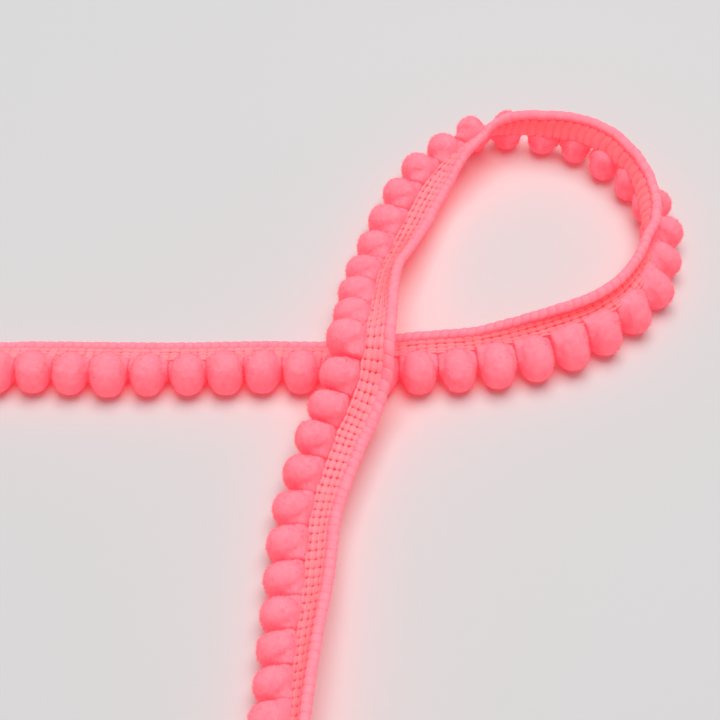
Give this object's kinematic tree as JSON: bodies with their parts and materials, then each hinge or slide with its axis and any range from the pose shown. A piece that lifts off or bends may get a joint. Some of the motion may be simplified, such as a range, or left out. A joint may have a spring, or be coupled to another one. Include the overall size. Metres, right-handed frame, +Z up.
{
  "type": "looped length of pompom trim",
  "caption": "Cut length of narrow knitted tape edged with a row of small velvety pompoms, lying in a loop that crosses over itself.",
  "frame": {"origin": "on the surface that the trim lies on, under the middle of its bounding box", "axes": "+Z up from that surface; +X runs along the straight strand towards the loop, with the row of pompoms on its -Y side and the tape on its +Y side; the other cut end points along -Y"},
  "size_m": [0.1134, 0.1182, 0.0127],
  "materials": {
    "tape_yarn": "matt knitted yarn in a bright coral pink, with a rolled selvedge and fine rows of pores",
    "pompom_pile": "short dense velvety pile in a bright coral pink"
  },
  "bodies": {
    "root": {"knitted_tape": "tape_yarn", "pompom_01": "pompom_pile", "pompom_02": "pompom_pile", "pompom_03": "pompom_pile", "pompom_04": "pompom_pile", "pompom_05": "pompom_pile", "pompom_06": "pompom_pile", "pompom_07": "pompom_pile", "pompom_08": "pompom_pile", "pompom_09": "pompom_pile", "pompom_10": "pompom_pile", "pompom_11": "pompom_pile", "pompom_12": "pompom_pile", "pompom_13": "pompom_pile", "pompom_14": "pompom_pile", "pompom_15": "pompom_pile", "pompom_16": "pompom_pile", "pompom_17": "pompom_pile", "pompom_18": "pompom_pile", "pompom_19": "pompom_pile", "pompom_20": "pompom_pile", "pompom_21": "pompom_pile", "pompom_22": "pompom_pile", "pompom_23": "pompom_pile", "pompom_24": "pompom_pile", "pompom_25": "pompom_pile", "pompom_26": "pompom_pile", "pompom_27": "pompom_pile", "pompom_28": "pompom_pile", "pompom_29": "pompom_pile", "pompom_30": "pompom_pile", "pompom_31": "pompom_pile", "pompom_32": "pompom_pile", "pompom_33": "pompom_pile", "pompom_34": "pompom_pile", "pompom_35": "pompom_pile", "pompom_36": "pompom_pile", "pompom_37": "pompom_pile", "pompom_38": "pompom_pile", "pompom_39": "pompom_pile", "pompom_40": "pompom_pile", "pompom_41": "pompom_pile", "pompom_42": "pompom_pile", "pompom_43": "pompom_pile", "pompom_44": "pompom_pile", "pompom_45": "pompom_pile", "pompom_46": "pompom_pile", "pompom_47": "pompom_pile", "pompom_48": "pompom_pile", "pompom_49": "pompom_pile", "pompom_50": "pompom_pile", "pompom_51": "pompom_pile", "pompom_52": "pompom_pile"}
  },
  "joints": []
}
